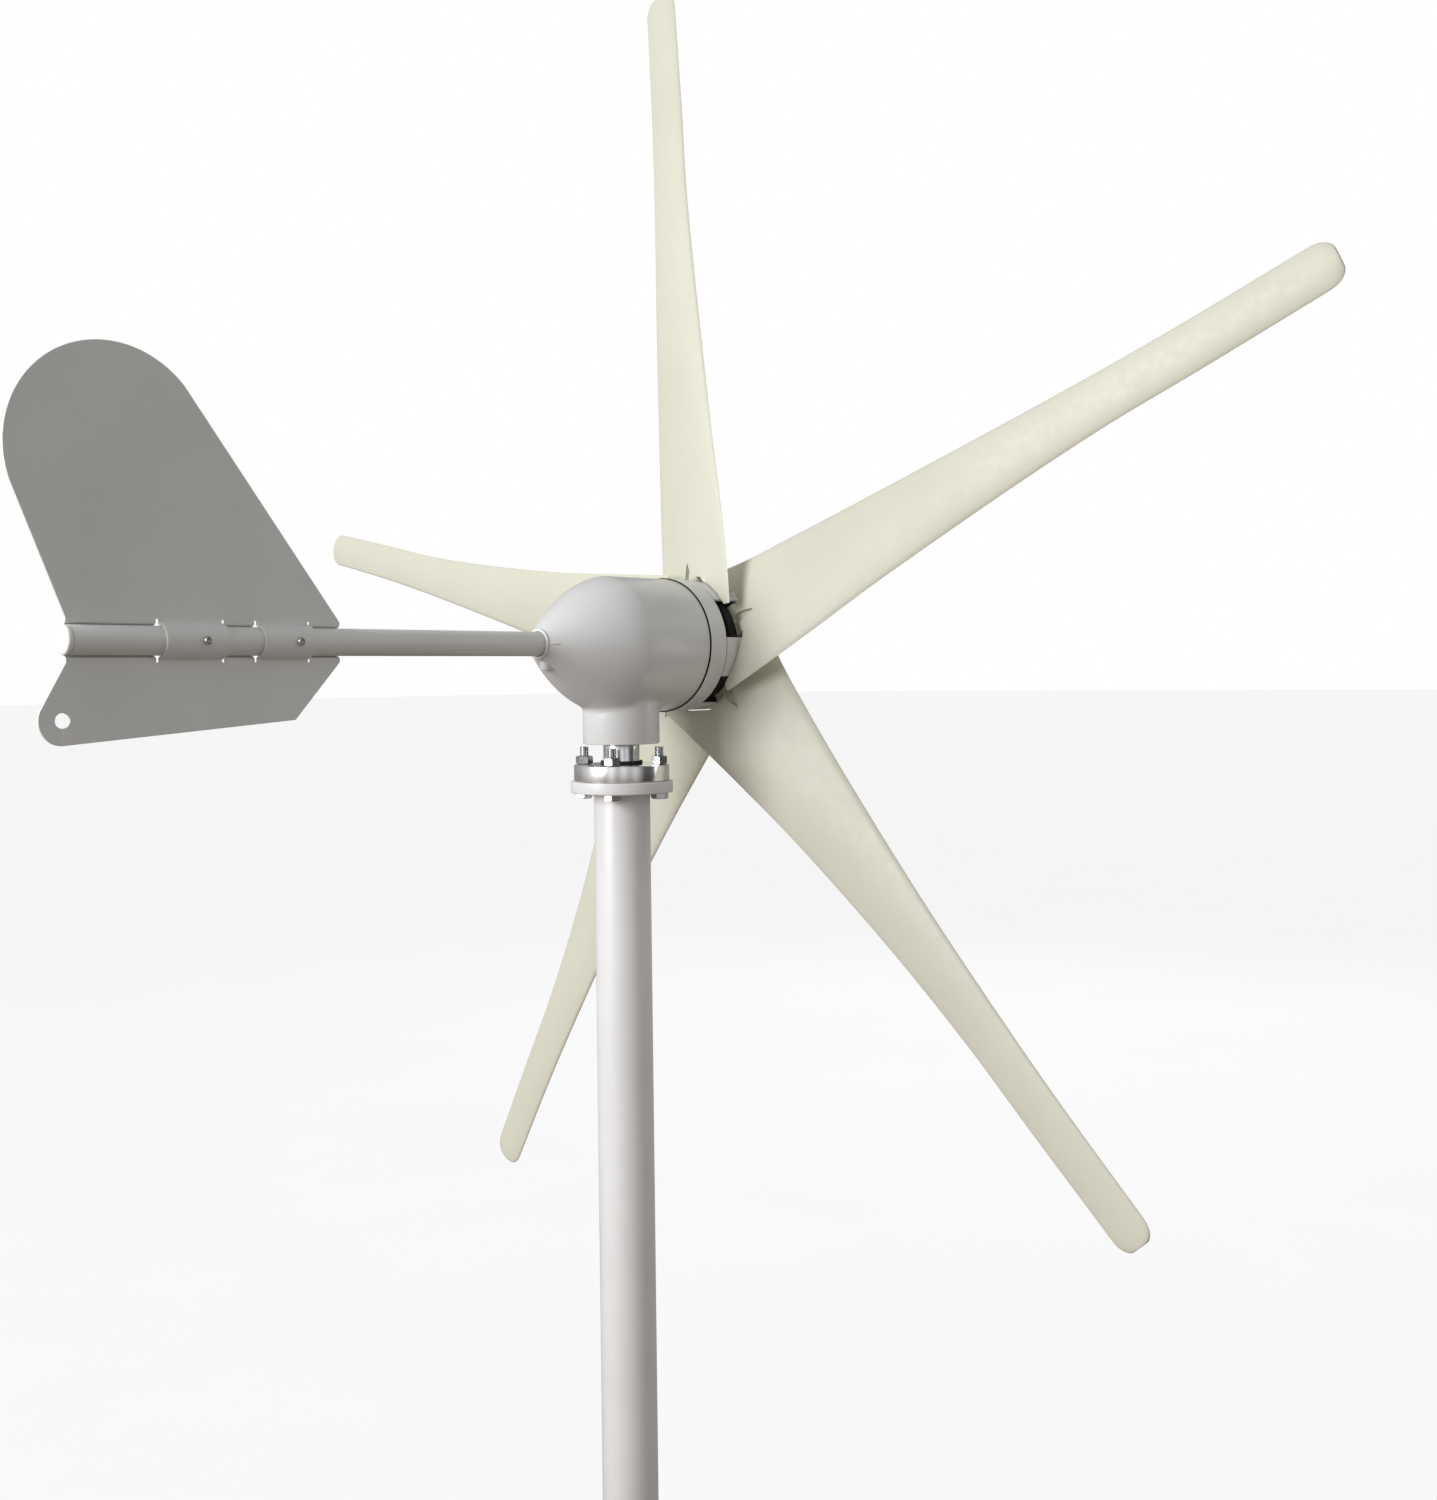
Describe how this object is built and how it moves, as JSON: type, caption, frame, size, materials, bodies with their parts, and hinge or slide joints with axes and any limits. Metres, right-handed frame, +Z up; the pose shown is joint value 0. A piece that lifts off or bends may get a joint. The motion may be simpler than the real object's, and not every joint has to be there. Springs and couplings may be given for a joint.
{
  "type": "horizontal-axis wind turbine",
  "caption": "Small wind turbine on a bolted mast: a multi-blade upwind rotor and generator that spin, a bullet housing with tail boom and sheet vane that yaws on the mast.",
  "frame": {"origin": "centre of the mast's foot, on the yaw axis", "axes": "+Z up the mast along the yaw axis, +X upwind from tail to nose along the rotor axis, +Y to the left seen looking upwind"},
  "size_m": [0.7006, 1.1683, 1.4391],
  "materials": {
    "mast_paint": "off-white grey paint, satin",
    "housing_paint": "light grey paint, smooth satin-gloss",
    "vane_paint": "light grey powder coat, satin",
    "blade_plastic": "ivory fibre-reinforced nylon, semi-matt",
    "white_plastic": "off-white moulded plastic, satin",
    "bright_metal": "turned bright steel",
    "zinc": "zinc-plated steel fasteners",
    "hub_paint": "black-painted casting, rough",
    "bearing_steel": "ground bearing steel",
    "steel": "plain machined steel",
    "copper": "enamelled copper wire and contact rings",
    "rubber": "black nitrile rubber",
    "insulator": "dark moulded insulator"
  },
  "bodies": {
    "mast": {"mast_tube": "mast_paint", "mast_flange": "mast_paint", "yaw_shaft": "bright_metal", "yaw_dust_ring": "rubber", "yaw_lock_nut": "steel", "slip_ring": "copper", "yaw_bearing_inner_lower": "bearing_steel", "yaw_bearing_inner_upper": "bearing_steel", "flange_bolt_1": "zinc", "flange_bolt_2": "zinc", "flange_bolt_3": "zinc", "flange_bolt_4": "zinc", "flange_nut_1": "zinc", "flange_nut_2": "zinc", "flange_nut_3": "zinc", "flange_nut_4": "zinc"},
    "nacelle": {"body_housing": "housing_paint", "front_cover": "housing_paint", "cover_screw_1": "zinc", "cover_screw_2": "zinc", "cover_screw_3": "zinc", "yaw_bearing_outer_lower": "bearing_steel", "yaw_bearing_outer_upper": "bearing_steel", "brush_block": "insulator", "stator_core": "steel", "stator_winding": "copper", "rear_bearing_outer": "bearing_steel", "front_bearing_outer": "bearing_steel", "tail_boom": "housing_paint", "boom_end_cap": "white_plastic", "boom_set_screw": "zinc", "tail_vane": "vane_paint", "vane_screw_1": "zinc", "vane_screw_2": "zinc", "vane_nut_1": "zinc", "vane_nut_2": "zinc"},
    "rotor": {"rotor_shaft": "steel", "magnet_rotor": "steel", "rear_bearing_inner": "bearing_steel", "front_bearing_inner": "bearing_steel", "shaft_seal": "rubber", "hub": "hub_paint", "blade_clamp_plate": "zinc", "shaft_nut": "zinc", "nose_cone": "white_plastic", "blade_1": "blade_plastic", "blade_2": "blade_plastic", "blade_3": "blade_plastic", "blade_4": "blade_plastic", "blade_5": "blade_plastic", "blade_bolt_1a": "zinc", "blade_bolt_1b": "zinc", "blade_bolt_2a": "zinc", "blade_bolt_2b": "zinc", "blade_bolt_3a": "zinc", "blade_bolt_3b": "zinc", "blade_bolt_4a": "zinc", "blade_bolt_4b": "zinc", "blade_bolt_5a": "zinc", "blade_bolt_5b": "zinc"}
  },
  "joints": [
    {"name": "yaw", "type": "hinge", "parent": "mast", "child": "nacelle", "pos_m": [0, 0, 0.742], "axis": [0, 0, 1], "continuous": true},
    {"name": "rotor_spin", "type": "hinge", "parent": "nacelle", "child": "rotor", "pos_m": [0.06, 0, 0.827], "axis": [1, 0, 0], "continuous": true}
  ]
}
